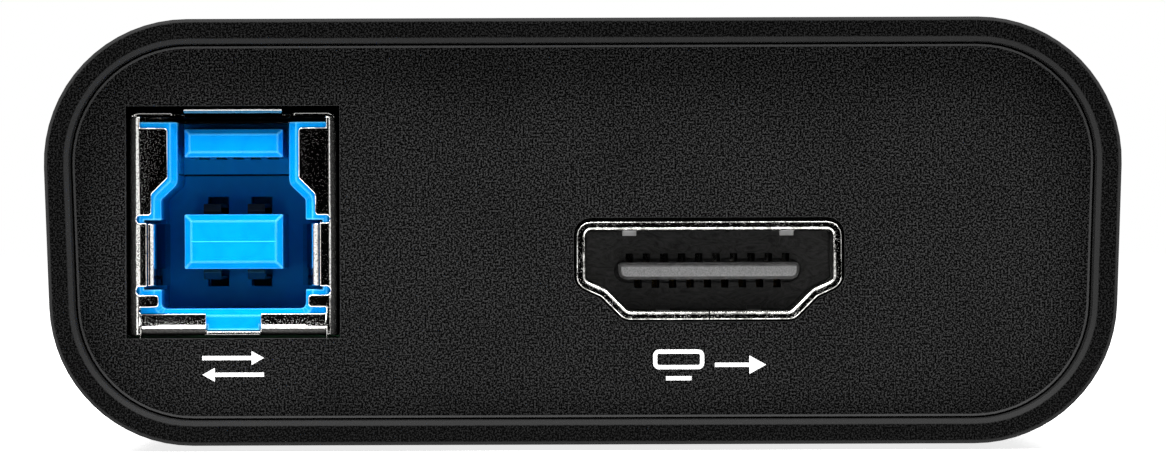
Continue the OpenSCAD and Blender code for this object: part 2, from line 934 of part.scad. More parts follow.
// A tongue that reaches forward to tip, bevelled on all four edges of its face
module data_tongue(half, bottom, top, tip, bevel) {
    back = data_cavity_depth + over;
    intersection() {
        along_x(2 * half) polygon([
            [tip, bottom + bevel],
            [tip + bevel, bottom],
            [back, bottom],
            [back, top],
            [tip + bevel, top],
            [tip, top - bevel]
        ]);
        translate([0, 0, bottom]) linear_extrude(top - bottom) polygon([
            [half - bevel, tip],
            [half, tip + bevel],
            [half, back],
            [-half, back],
            [-half, tip + bevel],
            [bevel - half, tip]
        ]);
    }
}

// Channels for one contact: its run back from start and the drop to the board behind it
module contact_channel(x, slot_w, start, low, high, drop, thickness) {
    high_corner = [x + slot_w / 2, drop + thickness + drop_gap, high];
    block([x - slot_w / 2, start, low], high_corner);
    block([x - slot_w / 2, drop - drop_gap, 0], high_corner);
}

module data_channels() {
    slot_start = data_cavity_depth - over;
    for (x = [-data_contact_x, data_contact_x]) {
        contact_channel(x, data_slot_w, slot_start, data_tongue_top, data_tongue_top + data_slot_h,
            data_upper_drop, data_contact_t);
        contact_channel(x, data_slot_w, slot_start, data_tongue_bottom - data_slot_h, data_tongue_bottom,
            data_lower_drop, data_contact_t);
    }
    for (i = [-2 : 2])
        contact_channel(i * fast_pitch, fast_slot_w, data_contact_start, fast_tongue_bottom - skin_gap,
            fast_tongue_bottom + fast_contact_t, fast_drop, fast_contact_t);
}

module leaf_pockets() {
    mirrored() block(
        [cavity_lower_x - over, 0, leaf_bottom - data_leaf_pocket_gap],
        [data_leaf_pocket_x, data_leaf_pocket_depth, leaf_top + data_leaf_pocket_gap]
    );
}

// Room at the front edges of the insulator for the bends of the can
module bend_room() {
    far = sheet + bend_inner_r;
    edge = data_w / 2;
    low_start = low_flap_inner - skin_gap;
    mirrored() {
        linear_extrude(data_h) polygon([[edge - sheet, sheet], [edge - sheet, far], [edge - far, sheet]]);
        translate([(low_start + edge) / 2, 0, 0]) along_x(edge - low_start)
            polygon([[sheet, sheet], [far, sheet], [sheet, far]]);
    }
}

module data_port_insulator() {
    inside = sheet + skin_gap;
    color("dodgerblue") at_data_port() difference() {
        union() {
            difference() {
                block(
                    [inside - data_w / 2, inside, inside],
                    [data_w / 2 - inside, data_depth - inside, insulator_top]
                );
                data_cavity();
            }
            data_tongue(data_tongue_w / 2, data_tongue_bottom, data_tongue_top,
                data_tongue_tip, data_tongue_bevel);
            data_tongue(fast_tongue_w / 2, fast_tongue_bottom, fast_tongue_top,
                fast_tongue_tip, fast_tongue_bevel);
            block(
                [-cavity_upper_x - over, data_cavity_depth - fast_block_depth, fast_block_bottom],
                [cavity_upper_x + over, data_cavity_depth + over, insulator_top]
            );
        }
        data_channels();
        leaf_pockets();
        bend_room();
    }
}

// One bent strip: a run bowed away from a tongue, a drop behind the port and a tail through the board
module contact_strip(x, width, thickness, start, low, bow, drop) {
    run = low + bow;
    translate([x, 0, 0]) along_x(width) polygon([
        [start, low],
        [start + data_contact_ramp, run],
        [drop + thickness, run],
        [drop + thickness, run + thickness],
        [start + data_contact_ramp, run + thickness],
        [start, low + thickness]
    ]);
    block([x - width / 2, drop, sheet], [x + width / 2, drop + thickness, run + thickness]);
    block(
        [x - tail_w / 2, drop, -board_thickness - tail_length],
        [x + tail_w / 2, drop + thickness, sheet]
    );
}

module data_port_contacts() {
    color("goldenrod") at_data_port() for (x = [-data_contact_x, data_contact_x]) {
        contact_strip(x, data_contact_w, data_contact_t, data_contact_start, data_tongue_top,
            data_contact_bow, data_upper_drop);
        contact_strip(x, data_contact_w, data_contact_t, data_contact_start,
            data_tongue_bottom - data_contact_t, -data_contact_bow, data_lower_drop);
    }
}

module data_port_fast_contacts() {
    color("goldenrod") at_data_port() for (i = [-2 : 2])
        contact_strip(i * fast_pitch, fast_contact_w, fast_contact_t, data_contact_start,
            fast_tongue_bottom, 0, fast_drop);
}

function leaf_bend(radius, a) = [data_leaf_root_x, data_leaf_bend_r] - radius * [sin(a), cos(a)];

// Spring leaf on the right of the data port, bent inwards from the can's front
module data_leaf() {
    apex_x = cavity_lower_x - leaf_reach;
    tip_x = apex_x + leaf_reach;
    translate([0, 0, leaf_bottom + leaf_clearance])
        linear_extrude(leaf_top - leaf_bottom - 2 * leaf_clearance) polygon(concat(
            [for (a = [0 : bend_step : 90]) leaf_bend(data_leaf_bend_r, a)],
            [
                [apex_x, data_leaf_apex_y],
                [tip_x, data_leaf_tip_y],
                [tip_x + leaf_t, data_leaf_tip_y],
                [apex_x + leaf_t, data_leaf_apex_y]
            ],
            [for (a = [90 : -bend_step : 0]) leaf_bend(data_leaf_bend_r - leaf_t, a)]
        ));
}

module data_port_left_leaf() {
    color("silver") at_data_port() mirror([1, 0, 0]) data_leaf();
}

module data_port_right_leaf() {
    color("silver") at_data_port() data_leaf();
}

// Video ports

function lip_throat(a) = video_throat_r * [1 - sin(a), 1 - cos(a)];
function lip_rim(a) = [0, video_flare] + video_rim_r * [1 - cos(a), sin(a) - 1];

module video_can() {
    difference() {
        union() {
            tube_loft(video_corners, video_radii, video_steps, concat(
                [for (a = [0 : bend_step : 90]) lip_rim(a)],
                [[sheet, video_flare], [video_lip, sheet], [video_depth, sheet], [video_depth, 0]],
                [for (a = [0 : bend_step : 90]) lip_throat(a)]
            ));
            for (y = video_leg_ys) mirrored() block(
                [video_w / 2, y, -board_thickness - tail_length],
                [video_w / 2 + sheet, y + video_leg_w, video_leg_top]
            );
        }
        mirrored() leaf_window(video_top_leaf_x, video_top);
        mirrored() leaf_window(video_bottom_leaf_x, video_floor - sheet);
        block(
            [-video_seam / 2, -over, video_floor - video_flare - over],
            [video_seam / 2, video_depth + over, video_floor + over]
        );
    }
}

module leaf_window(x, low) {
    half = video_leaf_w / 2 + leaf_clearance;
    block(
        [x - half, video_leaf_y - video_root_r - leaf_clearance, low - sheet / 2],
        [x + half, video_window_end, low + 1.5 * sheet]
    );
}

// One row of slots in the back wall, and of the grooves in the tongue that the contacts lie in
module video_slots(count, slot_low, groove_low) {
    groove = video_contact_w / 2 + video_skin_gap;
    for (i = [0 : count - 1]) translate([(i - (count - 1) / 2) * video_pitch, 0, 0]) {
        block(
            [-video_slot_w / 2, video_wall_y - over, slot_low],
            [video_slot_w / 2, video_back + over, slot_low + video_slot_h]
        );
        block(
            [-groove, video_contact_start, groove_low],
            [groove, video_back + over, groove_low + video_contact_t + skin_gap]
        );
    }
}

module video_insulator() {
    low = video_tongue_z - video_tongue_h / 2;
    high = video_tongue_z + video_tongue_h / 2;
    half = video_tongue_w / 2;
    ring_radii = [for (i = [0 : 3]) video_tongue_h / 2];
    difference() {
        union() {
            difference() {
                along_y(video_wall_y, video_back)
                    polygon(rounded(video_corners, video_radii, -video_skin_gap, video_steps));
                along_y(video_wall_y - over, video_wall_y + video_ring_depth)
                    polygon(rounded(rectangle(half, low, high), ring_radii, video_ring / 2, 6));
            }
            solid_loft(rectangle(half, low, high), video_tongue_radii, 2, [
                [video_tongue_tip, -video_tongue_bevel],
                [video_tongue_tip + 1.5 * video_tongue_bevel, 0],
                [video_wall_y + 2 * video_ring_depth, 0]
            ], [0, video_tongue_z]);
            block(
                [-video_block_x, video_depth + skin_gap, 0],
                [video_block_x, video_back, video_block_top]
            );
            block(
                [-video_pad_x, video_wall_y, 0],
                [video_pad_x, video_back, video_floor - sheet - skin_gap]
            );
        }
        video_slots(video_upper_count, high, high - video_contact_t);
        video_slots(video_lower_count, low - video_slot_h, low - skin_gap);
    }
}

// One row of contacts: each runs along the tongue, drops behind the port and turns out on the board
module video_contact_row(count, low) {
    drop = video_drop_y;
    for (i = [0 : count - 1])
        translate([(i - (count - 1) / 2) * video_pitch, 0, 0]) along_x(video_contact_w) polygon([
            [video_contact_start, low],
            [drop, low],
            [drop, 0],
            [drop + video_foot_length, 0],
            [drop + video_foot_length, video_contact_t],
            [drop + video_contact_t, video_contact_t],
            [drop + video_contact_t, low + video_contact_t],
            [video_contact_start, low + video_contact_t]
        ]);
}

module video_contacts() {
    video_contact_row(video_upper_count, video_tongue_z + video_tongue_h / 2 - video_contact_t);
    video_contact_row(video_lower_count, video_tongue_z - video_tongue_h / 2);
}

// Spring leaf in the roof of a video port: a rolled root, a bump for the plug and an upturned tip
module video_leaf(x) {
    root_z = video_top + sheet / 2;
    run = root_z - video_root_r;
    apex = video_top - leaf_reach;
    ramp_end = video_leaf_bump_y + video_leaf_ramp;
    land_end = ramp_end + video_leaf_land;
    skew = leaf_t * tan(atan2(run - apex, video_leaf_ramp) / 2);
    translate([x, 0, 0]) along_x(video_leaf_w) {
        translate([video_leaf_y, root_z]) circle(r = video_root_r);
        polygon([
            [video_leaf_y, run],
            [video_leaf_bump_y, run],
            [ramp_end, apex],
            [land_end, apex],
            [video_leaf_tip_y, apex + leaf_reach / 2],
            [video_leaf_tip_y, apex + leaf_reach / 2 + leaf_t],
            [land_end, apex + leaf_t],
            [ramp_end + skew, apex + leaf_t],
            [video_leaf_bump_y + skew, run + leaf_t],
            [video_leaf_y, run + leaf_t]
        ]);
    }
}

module video_top_leaves() {
    for (x = [-video_top_leaf_x, video_top_leaf_x]) video_leaf(x);
}

module video_bottom_leaves() {
    translate([0, 0, video_floor + video_top]) mirror([0, 0, 1])
        for (x = [-video_bottom_leaf_x, video_bottom_leaf_x]) video_leaf(x);
}

module video_out_can() { color("silver") at_video_out() video_can(); }
module video_out_insulator() { color([0.08, 0.08, 0.08]) at_video_out() video_insulator(); }
module video_out_contacts() { color("goldenrod") at_video_out() video_contacts(); }
module video_out_top_leaves() { color("silver") at_video_out() video_top_leaves(); }
module video_out_bottom_leaves() { color("silver") at_video_out() video_bottom_leaves(); }
module video_in_can() { color("silver") at_video_in() video_can(); }
module video_in_insulator() { color([0.08, 0.08, 0.08]) at_video_in() video_insulator(); }
module video_in_contacts() { color("goldenrod") at_video_in() video_contacts(); }
module video_in_top_leaves() { color("silver") at_video_in() video_top_leaves(); }
module video_in_bottom_leaves() { color("silver") at_video_in() video_bottom_leaves(); }

// Status light

module light_pipe() {
    color("whitesmoke") at_front() translate([pipe_x, 0, pipe_z]) rotate([-90, 0, 0]) {
        translate([0, 0, panel_recess]) cylinder(d = pipe_d, h = light_y - panel_recess);
        translate([0, 0, seat_depth]) cylinder(d = pipe_flange_d, h = pipe_flange_t);
    }
}

module status_light() {
    color("ivory") at_front() translate([pipe_x, light_y + light_l / 2, board_top])
        standing([light_w, light_l, light_h]);
}

// Electronic parts on the board

module video_processor() {
    color([0.12, 0.12, 0.13]) on_board([0, 0]) {
        standing([processor_w, processor_w, processor_base_h]);
        standing([processor_lid_w, processor_lid_w, processor_h]);
    }
}

module thermal_pad() {
    color("lightskyblue") on_board([0, 0]) translate([0, 0, processor_h])
        standing([processor_lid_w, processor_lid_w, pad_t]);
}

module heat_sink() {
    pitch = (sink_w - fin_t) / (fin_count - 1);
    color("gray") on_board([0, 0]) translate([0, 0, processor_h + pad_t]) {
        standing([sink_w, sink_w, sink_base]);
        for (i = [0 : fin_count - 1])
            translate([i * pitch - (sink_w - fin_t) / 2, 0, 0]) standing([fin_t, sink_w, sink_h]);
    }
}

module memory_chips() {
    color([0.12, 0.12, 0.13]) for (place = memory_places) on_board(place) standing(memory_size);
}

module data_bridge_chip() {
    color([0.12, 0.12, 0.13]) on_board(bridge_place) standing(bridge_size);
}

// One row of bent leads along the side of a chip that is width wide
module lead_row(width, count, height) {
    for (i = [0 : count - 1])
        translate([(i - (count - 1) / 2) * lead_pitch, 0, 0]) along_x(lead_w) polygon([
            [width / 2 - over, height / 2],
            [width / 2 + lead_reach / 2 - lead_t, height / 2],
            [width / 2 + lead_reach / 2 - lead_t, 0],
            [width / 2 + lead_reach, 0],
            [width / 2 + lead_reach, lead_t],
            [width / 2 + lead_reach / 2, lead_t],
            [width / 2 + lead_reach / 2, height / 2 + lead_t],
            [width / 2 - over, height / 2 + lead_t]
        ]);
}

module video_receiver_chip() {
    color([0.12, 0.12, 0.13]) on_board(receiver_place) {
        standing(receiver_size);
        for (a = [0 : 90 : 270]) rotate(a) lead_row(receiver_size[0], receiver_leads, receiver_size[2]);
    }
}

module video_driver_chip() {
    color([0.12, 0.12, 0.13]) on_board(driver_place) standing(driver_size);
}

module firmware_chip() {
    color([0.12, 0.12, 0.13]) on_board(firmware_place) {
        standing(firmware_size);
        for (a = [0, 180]) rotate(a) lead_row(firmware_size[1], firmware_leads, firmware_size[2]);
    }
}

// A flat metal crystal can with round ends, on its flanged base
module crystals() {
    run = crystal_size[0] - crystal_size[1];
    lid = crystal_size[1] - 2 * crystal_base;
    color("silver") for (i = [0, 1]) on_board(crystal_places[i]) rotate(crystal_turns[i]) {
        standing([run, crystal_size[1], crystal_base]);
        standing([run, lid, crystal_size[2]]);
        for (x = [-run / 2, run / 2]) translate([x, 0, 0]) {
            cylinder(d = crystal_size[1], h = crystal_base);
            cylinder(d = lid, h = crystal_size[2]);
        }
    }
}

module filter_capacitors() {
    color("silver") for (place = capacitor_places) on_board(place) translate([0, 0, capacitor_base_h])
        rotate_extrude() polygon([
            [0, 0],
            [capacitor_d / 2, 0],
            [capacitor_d / 2, capacitor_groove_z - capacitor_groove],
            [capacitor_d / 2 - capacitor_groove, capacitor_groove_z],
            [capacitor_d / 2, capacitor_groove_z + capacitor_groove],
            [capacitor_d / 2, capacitor_h - capacitor_groove],
            [capacitor_d / 2 - capacitor_groove, capacitor_h],
            [0, capacitor_h]
        ]);
}

module capacitor_bases() {
    half = capacitor_base_half;
    cut = half / 2;
    color([0.1, 0.1, 0.1]) for (place = capacitor_places) on_board(place) linear_extrude(capacitor_base_h)
        polygon([[-half, -half], [half - cut, -half], [half, cut - half], [half, half - cut],
            [half - cut, half], [-half, half]]);
}

module power_inductors() {
    half = inductor_w / 2;
    color([0.25, 0.25, 0.26]) for (place = inductor_places) on_board(place) linear_extrude(inductor_h)
        polygon(rounded(rectangle(half, -half, half), [for (i = [0 : 3]) inductor_corner], 0, 6));
}

module voltage_regulators() {
    width = regulator_size[0];
    depth = regulator_size[1];
    color([0.12, 0.12, 0.13]) for (place = regulator_places) on_board(place) {
        standing(regulator_size);
        block([-width / 4, 0, 0], [width / 4, depth / 2 + regulator_tab, lead_t]);
        rotate(180) lead_row(depth, 3, regulator_size[2]);
    }
}

// Rows of small chip components, each given by its first place and its count
module chip_components() {
    length = component_size[0];
    color("burlywood") for (row = component_rows, i = [0 : row[2] - 1])
        on_board([row[0] + i * component_pitch, row[1]]) {
            translate([0, 0, component_lift]) standing(component_size);
            for (side = [-1, 1]) translate([side * (length - component_cap) / 2, 0, 0]) standing([
                component_cap,
                component_size[1] + 2 * component_lift,
                component_size[2] + 2 * component_lift
            ]);
        }
}

sleeve();
rear_panel();
front_panel();
panel_screws();
threaded_inserts();
rubber_feet();
main_board();
data_port_can();
data_port_insulator();
data_port_contacts();
data_port_fast_contacts();
data_port_left_leaf();
data_port_right_leaf();
video_out_can();
video_out_insulator();
video_out_contacts();
video_out_top_leaves();
video_out_bottom_leaves();
video_in_can();
video_in_insulator();
video_in_contacts();
video_in_top_leaves();
video_in_bottom_leaves();
light_pipe();
status_light();
video_processor();
thermal_pad();
heat_sink();
memory_chips();
data_bridge_chip();
video_receiver_chip();
video_driver_chip();
firmware_chip();
crystals();
filter_capacitors();
capacitor_bases();
power_inductors();
voltage_regulators();
chip_components();
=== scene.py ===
import math

import bmesh
import bpy
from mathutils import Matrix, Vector


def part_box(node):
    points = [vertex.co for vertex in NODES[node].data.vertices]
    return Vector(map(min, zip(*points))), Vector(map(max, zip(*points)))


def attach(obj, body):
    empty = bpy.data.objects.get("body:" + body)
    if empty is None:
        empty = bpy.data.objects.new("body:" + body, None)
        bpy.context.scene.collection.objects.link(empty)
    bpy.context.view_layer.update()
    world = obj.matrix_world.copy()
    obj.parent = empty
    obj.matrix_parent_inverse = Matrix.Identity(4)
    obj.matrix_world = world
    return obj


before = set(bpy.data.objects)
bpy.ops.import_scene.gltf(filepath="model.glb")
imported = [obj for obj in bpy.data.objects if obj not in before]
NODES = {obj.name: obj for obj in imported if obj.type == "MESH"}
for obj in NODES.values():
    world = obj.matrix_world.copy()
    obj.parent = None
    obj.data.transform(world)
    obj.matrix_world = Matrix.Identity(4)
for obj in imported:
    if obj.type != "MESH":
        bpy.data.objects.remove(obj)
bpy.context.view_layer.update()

# Sizes in metres, angles in degrees
MM = 0.001
BODY = "casing"
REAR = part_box("sleeve")[0].y
PANEL_EDGE_RISE = 0.08 * MM
PANEL_THICKNESS = 2 * MM
REAR_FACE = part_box("rear_panel")[0].y + PANEL_EDGE_RISE
FRONT_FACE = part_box("front_panel")[1].y - PANEL_EDGE_RISE

# Heights and depths in the ports that the finishes follow, and that place painted shade, painted highlights
# and a painted reflection
DATA_TONGUE_Z = 11.87 * MM
DATA_STEP_Z = 15.75 * MM
DATA_CREASE = 0.1 * MM
DATA_EDGE_DEPTH = 2.5 * MM
LEAF_BEND = 0.5 * MM
LEAF_FADE = 0.3 * MM
TAB_CREST = 0.1 * MM
TAB_BAND = 0.32 * MM
TAB_HALF = 3 * MM
VIDEO_TONGUE_TOP = 10.37 * MM
VIDEO_TIP_DEPTH = 0.012 * MM

# Inner outline of a video port, from its middle and its floor
PORT_FLOOR_HALF = 4.6 * MM
PORT_WAIST_HALF = 5.82 * MM
PORT_HALF = 7 * MM
PORT_WAIST_RISE = 1.23 * MM
PORT_SIDE_RISE = 1.77 * MM
PORT_HEIGHT = 4.55 * MM
PORT_FLARE = 0.52 * MM

# Gaskets and back plates of the video ports
GASKET_HOLE = 0.32 * MM
GASKET_RIM = 0.95 * MM
GASKET_DEPTH = 0.7 * MM
SHIELD_THICKNESS = 0.2 * MM
SHIELD_GAP = 0.1 * MM

# Moulding line on the data port's main tongue
SEAM_DEPTH = 0.41 * MM
SEAM_HALF = 0.03 * MM
SEAM_RISE = 0.02 * MM
SEAM_REACH = 2.4 * MM
SEAM_CREST_SHARE = 0.3

# Printed marks on the panels
INK_THICKNESS = 0.012 * MM
INK_STROKE = 0.24 * MM
MARK_HEIGHT = 1.75 * MM
MARK_Z = 4.8 * MM
MARK_GAP = 0.6 * MM
SMALL_HEAD = 0.45 * MARK_HEIGHT
LARGE_HEAD = 0.6 * MARK_HEIGHT
HEAD_LENGTH_SHARE = 0.9
ARROWS_HALF = 1.75 * MM
ARROWS_SPREAD = 0.27 * MARK_HEIGHT
SCREEN_MARK_HALF = 3.2 * MM
SCREEN_WIDTH = 2.9 * MM
SCREEN_FOOT_SHARE = 0.36
SCREEN_OUTER_CORNER = 1.4 * INK_STROKE
SCREEN_INNER_CORNER = 0.4 * INK_STROKE

# Turns of a face towards the box's ends: 0 lies along the box, 1 faces an end
LEVEL_TILT = 0.1
ALONG_TILT = 0.25
SLOPED_TILT = 0.4
REARWARD_TILT = -0.15

# Grain of the finishes: where most of a noise lies, and how coarse patches are beside the grain
NOISE_SPAN = (0.3, 0.7)
COAT_PATCH = 60
MOTTLE_PATCH = 6
ROUGHNESS_SPREAD = 0.08

# Edges of the solids
SHARP_ANGLE = 28
FLAT_ANGLE = 0.3
JOIN_DISTANCE = 0.0005 * MM
BEVEL_SEGMENTS = 2
EDGE_MASK_SAMPLES = 6

# Camera, straight on the rear end
SENSOR_WIDTH_MM = 36
CAMERA_DISTANCE = 0.5
VIEW_WIDTH = 0.0658
CAMERA_HEIGHT = 12.38 * MM
CAMERA_ROLL = 0.187
CLIP_NEAR = 0.01
CLIP_FAR = 20

# Studio
FLOOR_HALF = 4.0
FLOOR_COLOUR = (0.86, 0.86, 0.86, 1)
FLOOR_GLOW = 0.78
AMBIENT = 0.3
SOFTBOX_DISTANCE = 0.8
FLAG_LEFT = -0.3
FLAG_RIGHT = 0.6
FLAG_NEAR = REAR - 0.022
FLAG_FAR = REAR - 0.9
FLAG_TOP = 0.26
FLAG_LIFT = 0.0004


def middle_x(node):
    """The X of a node's middle."""
    low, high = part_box(node)
    return (low.x + high.x) / 2


# Node trees


def add_node(tree, kind, props=None, inputs=None):
    """Adds a node with its properties and its inputs, which are given by place or by name."""
    made = tree.nodes.new(kind)
    for key, value in (props or {}).items():
        setattr(made, key, value)
    for key, value in (inputs or {}).items():
        socket = made.inputs[key]
        if isinstance(value, bpy.types.NodeSocket):
            tree.links.new(value, socket)
        else:
            socket.default_value = value
    return made


def maths(tree, operation, first, second=0.0):
    """One sum of two numbers or sockets."""
    made = add_node(tree, "ShaderNodeMath", props={"operation": operation}, inputs={0: first, 1: second})
    return made.outputs[0]


def above(tree, value, limit):
    """1 where a value is over a limit, 0 elsewhere."""
    return maths(tree, "GREATER_THAN", value, limit)


def below(tree, value, limit):
    """1 where a value is under a limit, 0 elsewhere."""
    return maths(tree, "LESS_THAN", value, limit)


def both(tree, first, second):
    """The product of two masks."""
    return maths(tree, "MULTIPLY", first, second)


def outside(tree, mask):
    """1 where a mask is 0, and 0 where it is 1."""
    return maths(tree, "SUBTRACT", 1.0, mask)


def places(tree):
    """The place of each point on the object, in metres."""
    return add_node(tree, "ShaderNodeTexCoord").outputs["Object"]


def axis_of(tree, axis):
    """One coordinate of each point's place, in metres."""
    split = add_node(tree, "ShaderNodeSeparateXYZ", inputs={0: places(tree)})
    return split.outputs[axis]


def stretched(tree, factors):
    """Places, scaled by a factor along each axis."""
    made = add_node(tree, "ShaderNodeMapping", inputs={"Vector": places(tree), "Scale": factors})
    return made.outputs[0]


def noise(tree, grain, detail=2.0, rough=0.5, distortion=0.0, vector=None):
    """A noise whose patches are about grain millimetres across, from 0 to 1."""
    made = add_node(tree, "ShaderNodeTexNoise", inputs={
        "Vector": vector or places(tree), "Scale": 1 / (grain * MM), "Detail": detail,
        "Roughness": rough, "Distortion": distortion})
    return made.outputs["Fac"]


def ranged(tree, value, low, high, to_low=0.0, to_high=1.0):
    """A value mapped from one range to another, held at its ends."""
    made = add_node(tree, "ShaderNodeMapRange", inputs={
        "Value": value, "From Min": low, "From Max": high, "To Min": to_low, "To Max": to_high})
    return made.outputs[0]


def blended(tree, share, first, second):
    """A colour between two others."""
    made = add_node(tree, "ShaderNodeMix", props={"data_type": "RGBA"})
    for key, value in ((0, share), (6, first), (7, second)):
        if isinstance(value, bpy.types.NodeSocket):
            tree.links.new(value, made.inputs[key])
        else:
            made.inputs[key].default_value = value
    return made.outputs[2]


def bump(tree, height, depth_mm):
    """A bumped normal, with relief of that depth."""
    made = add_node(tree, "ShaderNodeBump", inputs={
        "Height": height, "Distance": depth_mm * MM, "Strength": 1.0})
    return made.outputs[0]


def grey(value):
    return (value, value, value, 1)


def principled(name, **inputs):
    """A new material, the tree of its nodes and its shader, whose inputs are given by name."""
    made = bpy.data.materials.new(name)
    made.use_nodes = True
    shader = made.node_tree.nodes["Principled BSDF"]
    for key, value in inputs.items():
        shader.inputs[key.replace("_", " ")].default_value = value
    return made, made.node_tree, shader


def feed(tree, shader, **outputs):
    """Links sockets to the shader's inputs of those names."""
    for key, value in outputs.items():
        tree.links.new(value, shader.inputs[key.replace("_", " ")])


# Masks


def flat_normal(tree):
    """The normal of each face, before any smoothing."""
    return add_node(tree, "ShaderNodeNewGeometry").outputs["True Normal"]


def facing_along(tree):
    """How far each face is turned along the box: -1 to the rear, 1 to the front."""
    return add_node(tree, "ShaderNodeSeparateXYZ", inputs={0: flat_normal(tree)}).outputs[1]


def sloped_faces(tree, flat, slope):
    """1 on faces that slope away from the box's ends, 0 on those that face an end or lie along the box."""
    tilt = maths(tree, "ABSOLUTE", facing_along(tree))
    return both(tree, ranged(tree, tilt, ALONG_TILT, SLOPED_TILT), ranged(tree, tilt, flat, slope))


def long_faces(tree):
    """1 on faces that lie along the box, 0 on those that face an end."""
    return ranged(tree, maths(tree, "ABSOLUTE", facing_along(tree)), ALONG_TILT, LEVEL_TILT)


def edge_mask(tree, radius_mm, low, high):
    """1 along the edges of a solid, 0 on its faces."""
    eased = add_node(tree, "ShaderNodeBevel", props={"samples": EDGE_MASK_SAMPLES},
                     inputs={"Radius": radius_mm * MM})
    likeness = add_node(tree, "ShaderNodeVectorMath", props={"operation": "DOT_PRODUCT"},
                        inputs={0: eased.outputs[0], 1: flat_normal(tree)})
    return ranged(tree, likeness.outputs["Value"], high, low)


def tab_end(tree):
    """Two masks for painted light: the cut end of the tab over the data port, which gets a painted blue
    reflection, and all that is as high as the tab's top edge, where that end gets a painted white highlight.
    """
    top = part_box("data_port_can")[1].z
    height = axis_of(tree, 2)
    off_middle = maths(tree, "ABSOLUTE", maths(tree, "SUBTRACT", axis_of(tree, 0), middle_x("data_port_can")))
    on_tab = both(tree, above(tree, height, top - TAB_BAND), below(tree, off_middle, TAB_HALF))
    painted_tab_end = both(tree, on_tab, below(tree, facing_along(tree), REARWARD_TILT))
    return painted_tab_end, above(tree, height, top - TAB_CREST)


def step_shade_band(tree):
    """1 in the band under the data port's upper step where shade is painted."""
    height = axis_of(tree, 2)
    return both(tree, above(tree, height, DATA_STEP_Z - DATA_CREASE), below(tree, height, DATA_STEP_Z))


def tongue_tips(tree):
    """1 on the tips of the video ports' tongues."""
    rear_tip = abs(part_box("video_out_insulator")[0].y)
    front_tip = abs(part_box("video_in_insulator")[1].y)
    tip_start = max(rear_tip, front_tip) - VIDEO_TIP_DEPTH
    at_end = above(tree, maths(tree, "ABSOLUTE", axis_of(tree, 1)), tip_start)
    return both(tree, at_end, below(tree, axis_of(tree, 2), VIDEO_TONGUE_TOP))


# Materials


def grained_black(name, high, edge, grain, flat, slope):
    """A black coat with a fine grain whose peaks are lighter, smooth where its edges are cut, and paler there
    as a painted highlight.
    """
    made, tree, shader = principled(name)
    cut = sloped_faces(tree, flat, slope)
    fine = noise(tree, grain, detail=1, rough=0.6)
    broad = noise(tree, COAT_PATCH * grain, detail=2)
    peaks = ranged(tree, fine, 0.47, 0.61)
    shade = maths(tree, "MULTIPLY", peaks, ranged(tree, broad, 0.25, 0.75, 0.85, 1.15))
    coat = blended(tree, shade, grey(0.0002), grey(high))
    matt = ranged(tree, fine, *NOISE_SPAN, 0.65, 0.5)
    feed(tree, shader,
         # The paler colour on the cut faces is a painted highlight for the light that the chamfers catch.
         Base_Color=blended(tree, cut, coat, grey(edge)),
         Roughness=maths(tree, "SUBTRACT", matt, maths(tree, "MULTIPLY", cut, 0.2)),
         Specular_IOR_Level=ranged(tree, long_faces(tree), 0, 1, 0.015, 0.3),
         Normal=bump(tree, both(tree, fine, outside(tree, cut)), 0.02))
    return made


def plated_metal(name, depth, spots, shade_from=None):
    """Bright plating with pits of that depth and dull spots. On the cut end of the data port's tab it is not
    metal but painted: steel blue as a painted reflection, and white along the tab's top edge as a painted
    highlight.

    Behind a place along the box, if one is given, it is painted near black with a blue cast, as painted shade
    deep in the port.
    """
    made, tree, shader = principled(name)
    painted_tab_end, crest_highlight = tab_end(tree)
    pits = ranged(tree, noise(tree, 0.08, detail=2, rough=0.6), 0.56, 0.72)
    rolled = noise(tree, 0.25, detail=3, vector=stretched(tree, (1, 0.06, 1)))
    tarnish = ranged(tree, noise(tree, 2.5, detail=2), 0.35, 0.75)
    bright = blended(tree, tarnish, (0.94, 0.93, 0.9, 1), (0.84, 0.83, 0.8, 1))
    patches = ranged(tree, noise(tree, 0.45, detail=4, rough=0.7), 0.44, 0.6)
    plating = blended(tree, maths(tree, "MULTIPLY", patches, spots), bright, (0.05, 0.048, 0.04, 1))
    if shade_from is not None:
        # Painted shade: near black with a blue cast behind that place, deep in the port.
        behind = ranged(tree, axis_of(tree, 1), shade_from, shade_from + LEAF_FADE)
        plating = blended(tree, behind, plating, (0.03, 0.03, 0.08, 1))
    # Painted reflection of blue on the tab's cut end, with a painted white highlight along its top edge.
    painted_tab_light = blended(tree, crest_highlight, (0.025, 0.15, 0.29, 1), grey(0.9))
    relief = maths(tree, "ADD", pits, maths(tree, "MULTIPLY", rolled, 0.25))
    feed(tree, shader,
         Base_Color=blended(tree, painted_tab_end, plating, painted_tab_light),
         Metallic=outside(tree, painted_tab_end),
         Roughness=ranged(tree, rolled, 0.3, 0.75, 0.02, 0.07),
         Normal=bump(tree, relief, depth))
    return made


